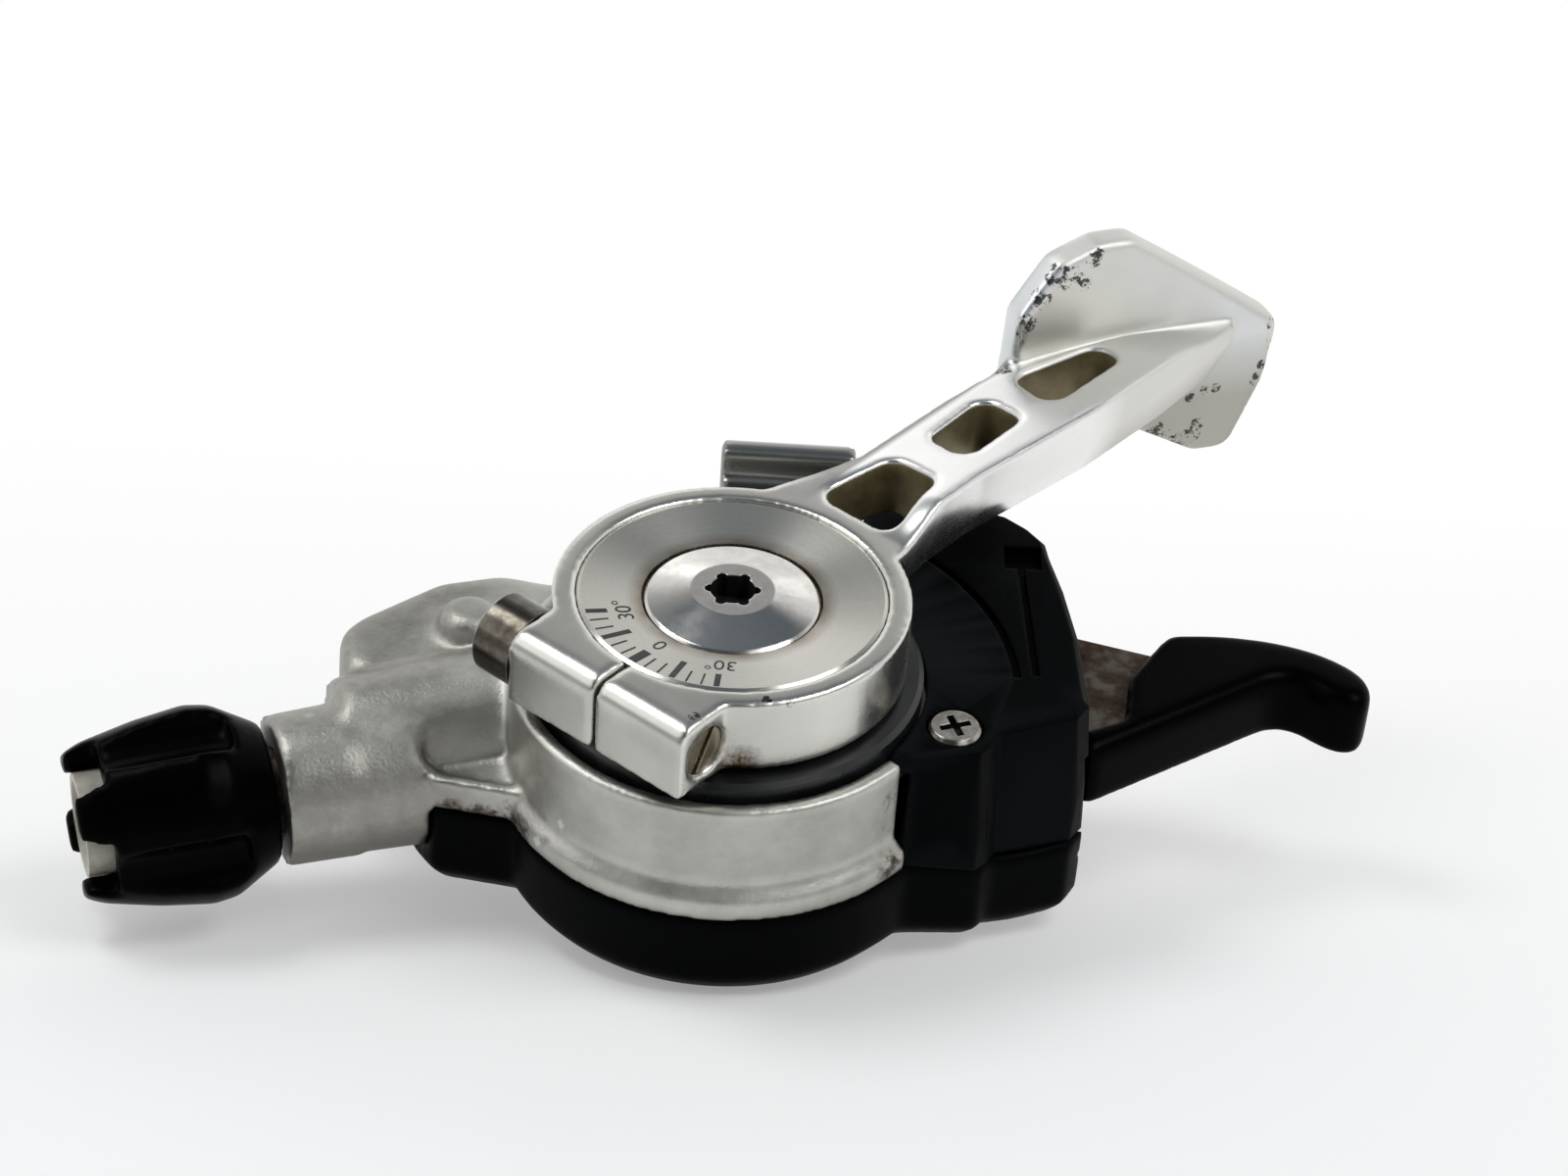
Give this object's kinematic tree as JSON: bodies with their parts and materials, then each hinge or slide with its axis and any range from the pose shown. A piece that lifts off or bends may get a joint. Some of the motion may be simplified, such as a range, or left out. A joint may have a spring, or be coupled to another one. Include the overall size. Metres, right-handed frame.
{
  "type": "trigger gear shifter",
  "caption": "Right-hand bicycle trigger shifter: round cast body with an angle dial, ladder-arm thumb lever with paddle, release lever, cable adjuster and split band for the handlebar.",
  "frame": {"origin": "on the lever shaft's axis, in the flat face of the lid", "axes": "+Z along the lever shaft towards the dial, +X along the handlebar towards the release lever, +Y towards the handlebar"},
  "size_m": [0.1088, 0.0749, 0.0506],
  "materials": {
    "cast_aluminium": "bead blasted casting",
    "forged_aluminium": "polished satin",
    "turned_aluminium": "turned, circular brushing",
    "black_plastic": "fine texture",
    "gloss_black": "smooth",
    "white_plastic": "smooth",
    "polished_steel": "polished",
    "stamped_steel": "stamped, light rust",
    "spring_steel": "blued",
    "bearing_bronze": "sintered",
    "spool_plastic": "smooth"
  },
  "bodies": {
    "housing": {"main_housing": "cast_aluminium", "lid": "black_plastic", "side_housing": "black_plastic", "cover_screw": "polished_steel", "lid_screws": "polished_steel", "bar_clamp": "forged_aluminium", "clamp_bolt": "polished_steel", "clamp_screw": "polished_steel", "shaft_bush": "bearing_bronze", "release_pin": "stamped_steel", "hold_pin": "stamped_steel", "spool_spring": "spring_steel", "hold_spring": "spring_steel", "release_spring": "spring_steel"},
    "hub": {"lever_shaft": "stamped_steel", "dial_hub": "turned_aluminium", "hub_bolt": "polished_steel", "drive_disc": "black_plastic", "drive_carrier": "stamped_steel", "drive_pawl_pin": "stamped_steel", "drive_spring": "spring_steel"},
    "drive_pawl": {"drive_pawl": "stamped_steel"},
    "thumb_lever": {"thumb_lever": "forged_aluminium", "pinch_bolt": "polished_steel"},
    "spool": {"cable_spool": "spool_plastic", "ratchet_ring": "stamped_steel"},
    "hold_pawl": {"hold_pawl": "stamped_steel"},
    "release_lever": {"release_core": "stamped_steel", "release_pad": "gloss_black"},
    "adjuster": {"adjuster_knob": "gloss_black", "adjuster_stem": "stamped_steel", "cable_sleeve": "white_plastic"}
  },
  "joints": [
    {"name": "shift_stroke", "type": "hinge", "parent": "housing", "child": "hub", "pos_m": [0, 0, 0], "axis": [0, 0, 1], "range_deg": [-55, 0], "stiffness_Nm_per_rad": 0.25, "springref_deg": 17.19},
    {"name": "lever_adjust", "type": "hinge", "parent": "hub", "child": "thumb_lever", "pos_m": [0, 0, 0.0239], "axis": [0, 0, 1], "range_deg": [-30, 30]},
    {"name": "drive_pawl_lift", "type": "hinge", "parent": "hub", "child": "drive_pawl", "pos_m": [-0.01114, -0.0078, 0.01265], "axis": [0, 0, 1], "range_deg": [0, 14], "stiffness_Nm_per_rad": 0.004, "springref_deg": -5.73},
    {"name": "spool_turn", "type": "hinge", "parent": "housing", "child": "spool", "pos_m": [0, 0, 0.009], "axis": [0, 0, 1], "range_deg": [-55, 0]},
    {"name": "release_press", "type": "hinge", "parent": "housing", "child": "release_lever", "pos_m": [0.02, 0.014, 0.0098], "axis": [0, 0, 1], "range_deg": [-12, 0], "stiffness_Nm_per_rad": 0.2, "springref_deg": 17.19},
    {"name": "hold_pawl_lift", "type": "hinge", "parent": "housing", "child": "hold_pawl", "pos_m": [0.0166, 0.0034, 0.01265], "axis": [0, 0, 1], "range_deg": [-12, 0]},
    {"name": "adjuster_turn", "type": "hinge", "parent": "housing", "child": "adjuster", "pos_m": [-0.04616, -0.00892, 0.008], "axis": [0.9383, 0.346, 0], "continuous": true}
  ],
  "couplings": [
    {"joint": "spool_turn", "follows": "shift_stroke", "ratio": 1},
    {"joint": "hold_pawl_lift", "follows": "release_press", "ratio": 0.8}
  ]
}
